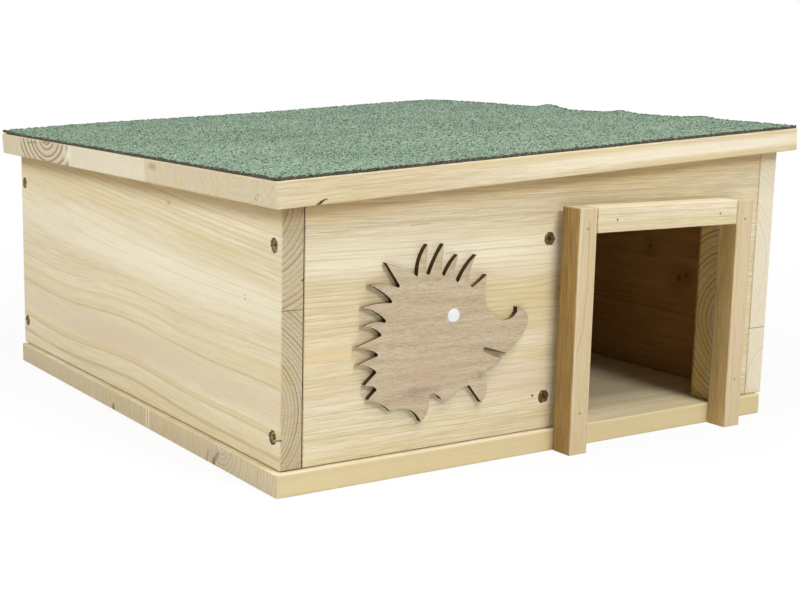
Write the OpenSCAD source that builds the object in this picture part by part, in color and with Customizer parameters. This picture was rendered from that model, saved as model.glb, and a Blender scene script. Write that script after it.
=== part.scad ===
// Hedgehog feeding station: a low pine house with a lift-up felted roof.
// Millimetres. Inside this file the base board's front left corner is at 0, 0, 0;
// stand() moves that to the centre of its underside. +X right, +Y back, +Z up.

/* [Base board] */
// Width of the base board, left to right
base_w = 428; // [380:1:520]
// Depth of the base board, front to back
base_d = 445; // [380:1:560]
// Thickness of the base board
base_t = 15; // [12:0.5:22]
// Radius of the base board's upright corners
base_corner_r = 3; // [1.5:0.5:8]
// Rounding along the base board's top and bottom edges
base_edge_r = 1.2; // [0.6:0.2:3]

/* [Walls] */
// How far the walls stand in from the base's left edge, and past its right edge
set_right = 4.6; // [0:0.2:6]
// How far the walls stand back from the base's front edge, and past its rear edge
set_back = 4.4; // [1:0.2:6]
// Thickness of the left side panel and the back panel
wall_t = 15.5; // [12:0.5:20]
// Thickness of the right side panel
right_wall_t = 17.5; // [12:0.5:20]
// Thickness of the front panel
front_t = 18; // [12:0.5:22]
// Height of the walls at the low, left side
low_wall_h = 161.4; // [150:0.2:200]
// Height of the walls at the high, right side
high_wall_h = 187; // [170:0.5:230]
// Glue and shadow gap between the panels' ends and the side panels
joint_gap = 0.4; // [0.2:0.1:0.8]
// Gap between the walls and the board they stand on
seat_gap = 0.3; // [0.1:0.1:0.5]
// Chamfer along the edges of the panels
panel_ease = 0.6; // [0.3:0.1:1.5]

/* [Entrance] */
// Clear width between the entrance posts
entrance_w = 135.5; // [110:0.5:160]
// Clear height of the entrance above the base board
entrance_h = 137; // [115:0.5:140]
// Distance of the entrance from the base board's right edge
entrance_from_right = 58.5; // [40:0.5:75]
// Width of the posts, left to right
post_w = 16.2; // [12:0.2:22]
// Depth of the posts and the lintel, front to back
post_d = 17.3; // [12:0.1:24]
// Height of the lintel
lintel_h = 17.3; // [12:0.1:24]
// How much wider the opening in the front panel is than the frame, each side
opening_side_ease = 5; // [1:0.5:8]
// How much higher the opening in the front panel is than the frame
opening_top_ease = 2.5; // [0.5:0.5:5]

/* [Divider wall] */
// Thickness of the divider wall
divider_t = 15; // [12:0.5:18]
// Distance from the entrance's left edge to the middle of the divider
divider_from_entrance = 22.6; // [20:0.2:40]
// Width of the passage left behind the divider
passage_w = 130; // [110:1:180]

/* [Roof] */
// Thickness of the roof board
roof_t = 16.5; // [12:0.5:22]
// Overhang past the side panels, along the board
roof_side_overhang = 9.5; // [4:0.5:30]
// Overhang past the front panel
roof_front_overhang = 11; // [4:0.5:30]
// Overhang past the back panel
roof_rear_overhang = 17; // [16:0.5:24]
// Gap between the closed roof and the wall tops
roof_gap = 0.3; // [0.1:0.1:0.6]
// Rounding along the roof board's edges
roof_edge_r = 1.4; // [0.6:0.2:3]
// Thickness of the roofing felt
felt_t = 2.3; // [1.5:0.1:4]
// How far the felt stands off the board along its right edge
felt_rise = 1.6; // [0.4:0.1:2.6]
// Height of the tallest ripple in the felt's right edge
felt_ripple_h = 3.2; // [0.5:0.1:5]

/* [Hedgehog cut-out] */
// Width of the whole figure
figure_w = 136.5; // [100:0.5:150]
// Thickness of the plywood
figure_t = 4; // [3:0.5:6]
// Distance of the figure's eye from the base board's left edge
eye_x = 129.6; // [120:0.2:145]
// Height of the figure's eye above the base board
eye_z = 87; // [80:0.5:95]
// Diameter of the painted eye
eye_d = 9.8; // [6:0.2:14]

/* [Hinges] */
// Length of a hinge
hinge_l = 40; // [30:1:60]
// Distance from the pin's centre to a leaf's free edge
hinge_leaf_w = 12.4; // [11:0.2:13]
// Thickness of the hinge's sheet steel
leaf_t = 1.2; // [0.8:0.1:1.6]
// Diameter of the hinge pin
pin_d = 3; // [2:0.1:3.6]
// Distance of each hinge's middle from the ends of the back panel
hinge_inset = 75; // [40:1:120]

/* [Fasteners] */
// Diameter of the wall screws' heads
screw_head_d = 7.6; // [6:0.1:8.4]
// Diameter of the wall screws' shanks
screw_d = 3.4; // [2.6:0.1:4.2]
// Length of the wall screws
screw_l = 36; // [28:1:45]
// How far the wall screws' heads lie below the wood
screw_sunk = 0.9; // [0.3:0.1:1.4]
// Height of the side panels' lower screws above the base board
low_screw_h = 20; // [12:0.5:40]
// Distance of the side panels' upper screws from the low wall's top
high_screw_drop = 23.4; // [14:0.2:50]
// Height of the divider's lower screw above the base board
divider_low_screw_h = 23; // [14:0.5:45]
// Distance of the divider's upper screw from the low wall's top
divider_screw_drop = 29.4; // [14:0.2:60]
// Diameter of the small screws' heads, in the hinges and under the base
small_head_d = 5.6; // [4.6:0.1:6]
// Diameter of the small screws' shanks
small_screw_d = 2.8; // [2:0.1:3.2]
// Diameter of the brads' heads
brad_head_d = 1.9; // [1.4:0.1:3]
// Diameter of the brads' shanks
brad_d = 1.1; // [0.8:0.1:1.6]

/* [Hidden] */
$fn = 32;
// How far a cut runs on past the surface it starts from
cut_over = 1;
// Room around and beyond a screw or a brad in its hole
pilot_clear = 0.03;
pilot_end = 0.5;

pine = [0.88, 0.79, 0.62];
pine_batten = [0.84, 0.73, 0.54];
plywood = [0.64, 0.54, 0.43];
felt_green = [0.42, 0.56, 0.46];
steel = [0.70, 0.71, 0.72];
bronze = [0.42, 0.34, 0.18];

// Walls
wall_x = set_right;
wall_y = set_back;
wall_w = base_w;
wall_d = base_d;
wall_z = base_t + seat_gap;
wall_right = wall_x + wall_w;
wall_rear = wall_y + wall_d;
inside_x = wall_x + wall_t;
inside_w = wall_w - wall_t - right_wall_t;
inside_y = wall_y + front_t;
inside_rear = wall_rear - wall_t;
front_mid_y = wall_y + front_t / 2;
back_mid_y = wall_rear - wall_t / 2;

// Roof: its own frame starts at the left panel's outer top edge and climbs to the right
roof_slope = atan((high_wall_h - low_wall_h) / wall_w);
roof_x = -roof_side_overhang;
roof_l = wall_w / cos(roof_slope) + 2 * roof_side_overhang;
roof_y = wall_y - roof_front_overhang;
roof_d = wall_d + roof_front_overhang + roof_rear_overhang;

// Entrance
entrance_right = base_w - entrance_from_right;
entrance_left = entrance_right - entrance_w;
frame_h = base_t + entrance_h + lintel_h;
opening_w = entrance_w + 2 * opening_side_ease;
opening_h = base_t + entrance_h + opening_top_ease;
brad_inset_x = 18;
brad_left_low = 29;
brad_right_low = 36;
brad_top_drop = 14;
brad_lintel_drop = 9;
brad_bite = 12;
brad_l = post_d + wall_y + brad_bite;
brad_head_h = brad_d / 2;

// Divider
divider_mid = entrance_left - divider_from_entrance;
divider_l = inside_rear - inside_y - passage_w;

// Heights of the wall screws above the base board
side_screw_h = [low_screw_h, low_wall_h - high_screw_drop];
divider_screw_h = [divider_low_screw_h, low_wall_h - divider_screw_drop];

// Hinges: the pin lies a little off both surfaces that its leaves are screwed to
knuckle_count = 5;
knuckle_play = 0.3;
knuckle_root = 0.5;
pin_clear = 0.05;
pin_r = pin_d / 2;
knuckle_r = pin_r + leaf_t;
pin_off = knuckle_r + knuckle_play;
pin_y = wall_rear + pin_off;
hinge_xs = [hinge_inset, wall_w / cos(roof_slope) - hinge_inset];
leaf_screw_x = hinge_l * 0.3;
leaf_screw_r = (hinge_leaf_w + pin_off) / 2;
leaf_screw_l = 11;
leaf_corner_r = 2;

// Screws from below, at shares of the side panels' depth
base_screw_l = 28;
base_screw_sunk = 0.4;
base_screw_places = [0.2, 0.8];
side_base_x = [(wall_x + inside_x) / 2, (wall_right - right_wall_t + base_w) / 2];

// Felt: ripples along the right edge stand at an even pitch and grow towards the back,
// between slow waves; its grid of points crowds towards that edge
felt_inset = 0.5;
ripple_pitch = roof_d / 5;
ripple_half = 15;
ripple_growth = [0.44, 0.67, 1];
lift_reach = 70;
edge_waves = 1.55;
rear_waves = 1.4;
wave_share = 0.42;
rear_rise_share = 0.7;
felt_nx = 10;
felt_ny = 44;
crowding = 2.2;

// Figure: drawn about its eye at the width drawn_w, then scaled
drawn_w = 136.3;
figure_scale = figure_w / drawn_w;
figure_y = wall_y - figure_t;
eye_t = 0.5;
notch_r = 1.1;
figure_brads = [[20, -42], [-44.5, -38], [44, -13.5]];
figure_brad_l = figure_t + brad_bite;

// ---------------------------------------------------------------- shared shapes

module stand() translate([-base_w / 2, -base_d / 2, 0]) children();

module roof_frame() stand()
    translate([wall_x, 0, wall_z + low_wall_h]) rotate([0, -roof_slope, 0]) children();

// Pin frame of one hinge: X along the pin, Z square to the roof board
module hinge_frame(x) roof_frame() translate([x, pin_y, roof_gap - pin_off]) children();

module round_rect(w, h, r) {
    translate([r, 0]) square([w - 2 * r, h]);
    translate([0, r]) square([w, h - 2 * r]);
    for (x = [r, w - r], y = [r, h - r]) translate([x, y]) circle(r);
}

function eased(w, h, e) =
    [[e, 0], [w - e, 0], [w, e], [w, h - e], [w - e, h], [e, h], [0, h - e], [0, e]];

// Board with round edges all the way round, and upright corners of their own radius
module round_board(w, d, t, corner_r, edge_r) intersection() {
    linear_extrude(t) round_rect(w, d, corner_r);
    translate([0, d, 0]) rotate([90, 0, 0]) linear_extrude(d) round_rect(w, t, edge_r);
    rotate([90, 0, 90]) linear_extrude(w) round_rect(d, t, edge_r);
}

// Straight batten with chamfered edges
module eased_batten(w, d, h, e) intersection() {
    linear_extrude(h) polygon(eased(w, d, e));
    translate([0, d, 0]) rotate([90, 0, 0]) linear_extrude(d) polygon(eased(w, h, e));
    rotate([90, 0, 90]) linear_extrude(w) polygon(eased(d, h, e));
}

// Panel that stands on the base and is cut off along the roof's slope
module panel(x, y, w, d) intersection() {
    stand() translate([x, y, wall_z]) eased_batten(w, d, 2 * high_wall_h, panel_ease);
    roof_frame() translate([-wall_w, -wall_d, -2 * high_wall_h])
        cube([3 * wall_w, 3 * wall_d, 2 * high_wall_h]);
}

// Countersunk screw along -Z with its head's face at z = 0
module screw(head_d, d, l) {
    head_h = (head_d - d) / 2;
    slot_w = head_d * 0.14;
    slot_l = head_d * 0.6;
    slot_h = head_h * 0.8;
    tip_d = d * 0.2;
    difference() {
        union() {
            translate([0, 0, -head_h]) cylinder(h = head_h, d1 = d, d2 = head_d);
            translate([0, 0, d - l]) cylinder(h = l - d - head_h, d = d);
            translate([0, 0, -l]) cylinder(h = d, d1 = tip_d, d2 = d);
        }
        for (a = [0, 90]) rotate(a) translate([-slot_l / 2, -slot_w / 2, -slot_h])
            cube([slot_l, slot_w, slot_h + cut_over]);
    }
}

// Hole that the screw fits, from a surface at z = sunk
module screw_hole(head_d, d, l, sunk) {
    head_h = (head_d - d) / 2;
    reach = sunk + cut_over;
    translate([0, 0, -head_h]) cylinder(h = head_h + reach,
        d1 = d + 2 * pilot_clear, d2 = head_d + 2 * (pilot_clear + reach));
    translate([0, 0, -l - pilot_end]) cylinder(h = l, d = d + 2 * pilot_clear);
}

// Brad along +Y with its head's face at y = 0
module brad(l) rotate([-90, 0, 0]) {
    tip_d = brad_d * 0.3;
    cylinder(h = brad_head_h, d = brad_head_d);
    cylinder(h = l - brad_d, d = brad_d);
    translate([0, 0, l - brad_d]) cylinder(h = brad_d, d1 = brad_d, d2 = tip_d);
}

module brad_hole(l) rotate([-90, 0, 0]) {
    translate([0, 0, -cut_over])
        cylinder(h = cut_over + brad_head_h, d = brad_head_d + 2 * pilot_clear);
    cylinder(h = l + pilot_end, d = brad_d + 2 * pilot_clear);
}

// ---------------------------------------------------------------- where fasteners go

// Screws that hold the front and back panels between the side panels; side = 0 left, 1 right
module side_screw_spots(side) stand()
    for (y = [front_mid_y, back_mid_y], z = side_screw_h)
        translate([side == 0 ? wall_x + screw_sunk : wall_right - screw_sunk, y, base_t + z])
            rotate([0, side == 0 ? -90 : 90, 0]) children();

// Screws through the front panel into the divider
module divider_screw_spots() stand() for (z = divider_screw_h)
    translate([divider_mid, wall_y + screw_sunk, base_t + z]) rotate([90, 0, 0]) children();

// Screws from below into the side panels and the divider
module base_screw_spots() stand() {
    for (x = side_base_x, v = base_screw_places)
        translate([x, wall_y + wall_d * v, base_screw_sunk]) rotate([180, 0, 0]) children();
    translate([divider_mid, inside_y + divider_l / 2, base_screw_sunk])
        rotate([180, 0, 0]) children();
}

module box_leaf_screw_spots() for (x = hinge_xs, dx = [-leaf_screw_x, leaf_screw_x])
    hinge_frame(x) translate([dx, leaf_t - pin_off, -leaf_screw_r]) rotate([-90, 0, 0]) children();

module roof_leaf_screw_spots() for (x = hinge_xs, dx = [-leaf_screw_x, leaf_screw_x])
    hinge_frame(x) translate([dx, leaf_screw_r, pin_off - leaf_t]) rotate([180, 0, 0]) children();

// Brads through the entrance frame into the front panel
module entrance_brad_spots() {
    posts_x = [entrance_left - post_w / 2, entrance_right + post_w / 2];
    lows = [brad_left_low, brad_right_low];
    stand() for (i = [0, 1]) {
        for (z = [lows[i], frame_h - brad_top_drop]) translate([posts_x[i], -post_d, z]) children();
        translate([i == 0 ? entrance_left + brad_inset_x : entrance_right - brad_inset_x,
            -post_d, frame_h - brad_lintel_drop]) children();
    }
}

module figure_frame() stand() translate([eye_x, figure_y, base_t + eye_z]) children();

module cutout_brad_spots() figure_frame() for (p = figure_brads * figure_scale)
    translate([p[0], 0, p[1]]) children();

// ---------------------------------------------------------------- base and walls

module base_board() color(pine) difference() {
    stand() round_board(base_w, base_d, base_t, base_corner_r, base_edge_r);
    base_screw_spots() screw_hole(small_head_d, small_screw_d, base_screw_l, base_screw_sunk);
}

module left_side_panel() color(pine) difference() {
    panel(wall_x, wall_y, wall_t, wall_d);
    side_screw_spots(0) screw_hole(screw_head_d, screw_d, screw_l, screw_sunk);
    base_screw_spots() screw_hole(small_head_d, small_screw_d, base_screw_l, base_screw_sunk);
}

module right_side_panel() color(pine) difference() {
    panel(wall_right - right_wall_t, wall_y, right_wall_t, wall_d);
    side_screw_spots(1) screw_hole(screw_head_d, screw_d, screw_l, screw_sunk);
    base_screw_spots() screw_hole(small_head_d, small_screw_d, base_screw_l, base_screw_sunk);
}

module front_panel() color(pine) difference() {
    panel(inside_x + joint_gap, wall_y, inside_w - 2 * joint_gap, front_t);
    stand() translate([entrance_left - opening_side_ease, 0, 0])
        cube([opening_w, inside_y + cut_over, opening_h]);
    for (side = [0, 1]) side_screw_spots(side)
        screw_hole(screw_head_d, screw_d, screw_l, screw_sunk);
    divider_screw_spots() screw_hole(screw_head_d, screw_d, screw_l, screw_sunk);
    entrance_brad_spots() brad_hole(brad_l);
    cutout_brad_spots() brad_hole(figure_brad_l);
}

module back_panel() color(pine) difference() {
    panel(inside_x + joint_gap, inside_rear, inside_w - 2 * joint_gap, wall_t);
    for (side = [0, 1]) side_screw_spots(side)
        screw_hole(screw_head_d, screw_d, screw_l, screw_sunk);
    box_leaf_screw_spots() screw_hole(small_head_d, small_screw_d, leaf_screw_l, 0);
}

module divider_wall() color(pine) difference() {
    panel(divider_mid - divider_t / 2, inside_y + joint_gap, divider_t, divider_l - joint_gap);
    divider_screw_spots() screw_hole(screw_head_d, screw_d, screw_l, screw_sunk);
    base_screw_spots() screw_hole(small_head_d, small_screw_d, base_screw_l, base_screw_sunk);
}

// ---------------------------------------------------------------- roof

module roof_board() color(pine) difference() {
    roof_frame() translate([roof_x, roof_y, roof_gap])
        round_board(roof_l, roof_d, roof_t, roof_edge_r, roof_edge_r);
    roof_leaf_screw_spots() screw_hole(small_head_d, small_screw_d, leaf_screw_l, 0);
}

// Lift of the felt off the board: u and v run 0 to 1 along its length and depth
function ripple(v, i) = felt_ripple_h * ripple_growth[i]
    * exp(-pow((v * roof_d - ripple_pitch * (i + 1)) / ripple_half, 2));
function edge_lift(v) = felt_rise * sqrt(v) * (1 + wave_share * sin(360 * edge_waves * v))
    + ripple(v, 0) + ripple(v, 1) + ripple(v, 2);
function fade(u) = pow(max(0, 1 - (1 - u) * roof_l / lift_reach), 2);
function rear_fade(v) = pow(max(0, 1 - (1 - v) * roof_d / lift_reach), 2);
function felt_lift(u, v) = fade(u) * edge_lift(v) + (1 - fade(u)) * rear_fade(v)
    * felt_rise * rear_rise_share * (1 + wave_share * sin(360 * rear_waves * u));

function felt_u(i) = 1 - pow(1 - i / (felt_nx - 1), crowding);
function felt_v(j) = j / (felt_ny - 1);
function felt_point(i, j, up) = [
    felt_inset + felt_u(i) * (roof_l - 2 * felt_inset),
    felt_inset + felt_v(j) * (roof_d - 2 * felt_inset),
    felt_lift(felt_u(i), felt_v(j)) + up
];

module felt_sheet() {
    n = felt_nx * felt_ny;
    points = [for (up = [0, felt_t], j = [0:felt_ny - 1], i = [0:felt_nx - 1])
        felt_point(i, j, up)];
    cells = [for (j = [0:felt_ny - 2], i = [0:felt_nx - 2]) j * felt_nx + i];
    rim = concat(
        [for (i = [0:felt_nx - 1]) i],
        [for (j = [1:felt_ny - 1]) j * felt_nx + felt_nx - 1],
        [for (i = [felt_nx - 2:-1:0]) (felt_ny - 1) * felt_nx + i],
        [for (j = [felt_ny - 2:-1:1]) j * felt_nx]
    );
    last = len(rim) - 1;
    rim_edges = [for (k = [0:last]) [rim[k], rim[k == last ? 0 : k + 1]]];
    faces = concat(
        [for (c = cells) [c, c + 1, c + felt_nx]],
        [for (c = cells) [c + 1, c + felt_nx + 1, c + felt_nx]],
        [for (c = cells) [n + c, n + c + felt_nx, n + c + 1]],
        [for (c = cells) [n + c + 1, n + c + felt_nx, n + c + felt_nx + 1]],
        [for (e = rim_edges) [e[0], n + e[0], e[1]]],
        [for (e = rim_edges) [e[1], n + e[0], n + e[1]]]
    );
    polyhedron(points, faces);
}

module roof_felt() color(felt_green)
    roof_frame() translate([roof_x, roof_y, roof_gap + roof_t]) felt_sheet();

// ---------------------------------------------------------------- entrance frame

module post(x) color(pine_batten) difference() {
    stand() translate([x, -post_d, 0]) eased_batten(post_w, post_d, frame_h, panel_ease);
    entrance_brad_spots() brad_hole(brad_l);
}

module entrance_post_left() post(entrance_left - post_w);
module entrance_post_right() post(entrance_right);

module entrance_lintel() color(pine_batten) difference() {
    stand() translate([entrance_left + joint_gap, -post_d, base_t + entrance_h])
        eased_batten(entrance_w - 2 * joint_gap, post_d, lintel_h, panel_ease);
    entrance_brad_spots() brad_hole(brad_l);
}

// ---------------------------------------------------------------- hedgehog cut-out

// Corners of the figure about its eye, and how far the edge to the next one swells
// to the left: spines of the crown, snout, belly and feet, then the spines of the back
crown = [
    [-22, 47.5, 0.3], [-23, 29, 0], [-20, 27.5, 0.8], [-9.5, 47, 0.2], [-10.5, 29, 0],
    [-8.5, 25, 1.1], [2, 39.5, 0.3], [-1, 28, 0], [2.5, 20, 1.6], [17, 38.5, -1.9],
    [12, 20, 0], [14, 17, -0.3], [26, 25, -0.5]
];
snout = [
    [25.5, 10, -3.6], [39, -5.5, -2.4], [52.5, -2, 0], [52.5, 1.5, 3], [62.5, -8.5, 1.5],
    [54, -21.5, 1.6], [44, -28.5, 0.2], [26, -22.6, 0], [24.5, -25.2, -1.4], [41.5, -31.6, 0.6],
    [36, -36.4, 0.3], [28, -37.8, -0.4]
];
belly = [
    [29.3, -49.5, 1.5], [25, -60.5, 0], [14.5, -47.5, -1.6], [2.5, -53.5, 1.2],
    [-7.5, -54.5, -0.7], [-15, -49.5, 0], [-18, -51.5, 2.7], [-23.5, -67.5, -2.4],
    [-38, -56.5, -0.8], [-47, -57.5, -1.3]
];
back = [
    [-64.5, -48, 0.2], [-57.5, -42, -0.8], [-67, -38.5, 0.2], [-58, -31, -1.4],
    [-72.5, -25, 0.4], [-56, -20.5, -1.3], [-74, -13.5, 0], [-54.5, -8, -1.8],
    [-69.5, -1, 2.2], [-49.5, -1.5, -2], [-69.5, 11, 1.2], [-46, 11.5, -1.3],
    [-64.5, 24.5, 2], [-40, 19.5, 0], [-53, 37.5, 0.8], [-31.5, 29, 0], [-28.5, 25.5, 2.6]
];
outline = concat(crown, snout, belly, back);
swell_steps = 6;

// Points of one edge: a shallow arc that swells by s to the left of its chord
function edge(a, b, s) = let (d = b - a, n = [-d[1], d[0]] / norm(d), m = s == 0 ? 1 : swell_steps)
    [for (k = [0:m - 1]) let (t = k / m) a + t * d + n * 4 * s * t * (1 - t)];
function xz(p) = [p[0], p[1]];
function figure_points() = [for (i = [0:len(outline) - 1])
    each edge(xz(outline[i]), xz(outline[(i + 1) % len(outline)]), outline[i][2])];

module hedgehog_cutout() color(plywood) difference() {
    figure_frame() translate([0, figure_t, 0]) rotate([90, 0, 0]) linear_extrude(figure_t)
        offset(r = -notch_r) offset(delta = notch_r)
            scale(figure_scale) polygon(figure_points());
    cutout_brad_spots() brad_hole(figure_brad_l);
}

module hedgehog_eye() color("white")
    figure_frame() rotate([90, 0, 0]) cylinder(h = eye_t, d = eye_d);

// ---------------------------------------------------------------- hinges

// One leaf hanging along -Z from the pin, flat against a surface at y = -pin_off.
// first = 0 has the outer knuckles, first = 1 the ones between them
module leaf(first) {
    pitch = hinge_l / knuckle_count;
    play = knuckle_play / 2;
    plate_h = hinge_leaf_w - pin_off;
    difference() {
        union() {
            translate([-hinge_l / 2, leaf_t - pin_off, -hinge_leaf_w]) rotate([90, 0, 0])
                linear_extrude(leaf_t) {
                    translate([0, leaf_corner_r]) square([hinge_l, plate_h - leaf_corner_r]);
                    translate([leaf_corner_r, 0]) square([hinge_l - 2 * leaf_corner_r, plate_h]);
                    for (x = [leaf_corner_r, hinge_l - leaf_corner_r])
                        translate([x, leaf_corner_r]) circle(leaf_corner_r);
                }
            for (i = [first:2:knuckle_count - 1])
                translate([-hinge_l / 2 + i * pitch + play, 0, 0]) {
                    rotate([0, 90, 0]) cylinder(h = pitch - 2 * play, r = knuckle_r);
                    translate([0, -pin_off, -pin_off - knuckle_root])
                        cube([pitch - 2 * play, leaf_t, pin_off + knuckle_root]);
                }
        }
        translate([-hinge_l, 0, 0]) rotate([0, 90, 0])
            cylinder(h = 2 * hinge_l, r = pin_r + pin_clear);
    }
}

module box_leaf(x) color(steel) difference() {
    hinge_frame(x) leaf(0);
    box_leaf_screw_spots() screw_hole(small_head_d, small_screw_d, leaf_screw_l, 0);
}

module roof_leaf(x) color(steel) difference() {
    hinge_frame(x) rotate([90, 0, 0]) mirror([0, 1, 0]) leaf(1);
    roof_leaf_screw_spots() screw_hole(small_head_d, small_screw_d, leaf_screw_l, 0);
}

module hinge_pin(x) color(steel) hinge_frame(x)
    translate([-hinge_l / 2, 0, 0]) rotate([0, 90, 0]) cylinder(h = hinge_l, r = pin_r);

module hinge_box_leaf_left() box_leaf(hinge_xs[0]);
module hinge_box_leaf_right() box_leaf(hinge_xs[1]);
module hinge_roof_leaf_left() roof_leaf(hinge_xs[0]);
module hinge_roof_leaf_right() roof_leaf(hinge_xs[1]);
module hinge_pin_left() hinge_pin(hinge_xs[0]);
module hinge_pin_right() hinge_pin(hinge_xs[1]);

// ---------------------------------------------------------------- fasteners

module hinge_box_screws() color(steel)
    box_leaf_screw_spots() screw(small_head_d, small_screw_d, leaf_screw_l);
module hinge_roof_screws() color(steel)
    roof_leaf_screw_spots() screw(small_head_d, small_screw_d, leaf_screw_l);
module left_panel_screws() color(bronze)
    side_screw_spots(0) screw(screw_head_d, screw_d, screw_l);
module right_panel_screws() color(bronze)
    side_screw_spots(1) screw(screw_head_d, screw_d, screw_l);
module divider_screws() color(bronze)
    divider_screw_spots() screw(screw_head_d, screw_d, screw_l);
module base_screws() color(bronze)
    base_screw_spots() screw(small_head_d, small_screw_d, base_screw_l);
module entrance_brads() color(steel) entrance_brad_spots() brad(brad_l);
module cutout_brads() color(steel) cutout_brad_spots() brad(figure_brad_l);

// ---------------------------------------------------------------- the nodes

base_board();
left_side_panel();
right_side_panel();
front_panel();
back_panel();
divider_wall();
roof_board();
roof_felt();
entrance_post_left();
entrance_post_right();
entrance_lintel();
hedgehog_cutout();
hedgehog_eye();
hinge_box_leaf_left();
hinge_box_leaf_right();
hinge_roof_leaf_left();
hinge_roof_leaf_right();
hinge_pin_left();
hinge_pin_right();
hinge_box_screws();
hinge_roof_screws();
left_panel_screws();
right_panel_screws();
divider_screws();
base_screws();
entrance_brads();
cutout_brads();
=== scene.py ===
"""Looks of the hedgehog feeding station: pine, plywood, felt and fasteners."""

import math

import bmesh
import bpy
from mathutils import Euler, Matrix, Vector, noise


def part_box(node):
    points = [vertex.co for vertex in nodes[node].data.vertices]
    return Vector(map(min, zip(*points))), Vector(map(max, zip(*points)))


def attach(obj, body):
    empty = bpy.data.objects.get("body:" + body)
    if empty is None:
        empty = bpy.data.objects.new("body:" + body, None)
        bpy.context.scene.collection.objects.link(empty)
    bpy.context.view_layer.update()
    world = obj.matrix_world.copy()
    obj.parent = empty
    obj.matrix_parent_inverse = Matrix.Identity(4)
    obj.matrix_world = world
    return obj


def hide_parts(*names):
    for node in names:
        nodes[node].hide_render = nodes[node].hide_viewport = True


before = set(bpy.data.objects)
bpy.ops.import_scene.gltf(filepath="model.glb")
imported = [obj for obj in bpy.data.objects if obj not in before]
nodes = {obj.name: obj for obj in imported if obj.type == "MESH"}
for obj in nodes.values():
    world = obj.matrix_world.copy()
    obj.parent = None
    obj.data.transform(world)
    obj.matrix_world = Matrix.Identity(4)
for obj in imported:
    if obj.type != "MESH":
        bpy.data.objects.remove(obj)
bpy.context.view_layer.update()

# ------------------------------------------------------------------ the station's places

# Places are in mm from the base board's front left corner on the ground, and those on the
# roof are in the roof board's own slanted frame.
MM = 0.001
BASE_LOW, BASE_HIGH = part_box("base_board")
BASE_CORNER = Vector((BASE_LOW.x, BASE_LOW.y, 0))
BASE_W = (BASE_HIGH.x - BASE_LOW.x) / MM
BASE_D = (BASE_HIGH.y - BASE_LOW.y) / MM

WALL_LEFT = 4.6
WALL_FRONT = 4.4
LEFT_INNER = 20.1
RIGHT_INNER = 415.1
FLOOR_TOP = 15.3
LOW_WALL_TOP = 176.7
HIGH_WALL_TOP = 202.3
ROOF_SLOPE = math.atan((HIGH_WALL_TOP - LOW_WALL_TOP) / BASE_W)
ROOF_SIDE_OVERHANG = 9.5
ROOF_FRONT_OVERHANG = 11
ROOF_REAR_OVERHANG = 17
ROOF_TOP = 16.8
ROOF_L = BASE_W / math.cos(ROOF_SLOPE) + 2 * ROOF_SIDE_OVERHANG
ROOF_D = BASE_D + ROOF_FRONT_OVERHANG + ROOF_REAR_OVERHANG
ROOF_FRONT = WALL_FRONT - ROOF_FRONT_OVERHANG
ROOF_CORNER = BASE_CORNER + Vector((WALL_LEFT, 0, LOW_WALL_TOP)) * MM
ROOF_TURN = Euler((0, -ROOF_SLOPE, 0))
ROOF_FRAME = Matrix.Translation(ROOF_CORNER) @ ROOF_TURN.to_matrix().to_4x4()


# ------------------------------------------------------------------ node trees as expressions

class Wire:
    """One output in a node tree. Operators between wires and numbers add Math nodes."""

    def __init__(self, tree, socket):
        self.tree, self.socket = tree, socket

    def do(self, operation, *others, clamp=False):
        settings = {"operation": operation, "use_clamp": clamp}
        return self.tree.node("ShaderNodeMath", settings, dict(enumerate((self, *others))))

    def other(self, name):
        return Wire(self.tree, self.socket.node.outputs[name])

    def held(self):
        """The value, kept between 0 and 1."""
        return self.do("ADD", 0, clamp=True)

    def __add__(self, other):
        return self.do("ADD", other)

    def __sub__(self, other):
        return self.do("SUBTRACT", other)

    def __mul__(self, other):
        return self.do("MULTIPLY", other)

    def __truediv__(self, other):
        return self.do("DIVIDE", other)

    def __rsub__(self, other):
        return self.tree.node("ShaderNodeMath", {"operation": "SUBTRACT"}, {0: other, 1: self})

    def __neg__(self):
        return self.do("MULTIPLY", -1)

    def __abs__(self):
        return self.do("ABSOLUTE")

    def __pow__(self, power):
        return self.do("POWER", power)

    def sin(self):
        return self.do("SINE")

    __radd__, __rmul__ = __add__, __mul__

    def above(self, edge, soft=0.0):
        """1 where the value is over edge and 0 under it, through a stretch 2 * soft wide."""
        if not soft:
            return self.do("GREATER_THAN", edge)
        return self.tree.node(
            "ShaderNodeMapRange",
            {"interpolation_type": "SMOOTHSTEP"},
            {"Value": self, "From Min": edge - soft, "From Max": edge + soft},
        )

    def below(self, edge, soft=0.0):
        return 1 - self.above(edge, soft)


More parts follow.
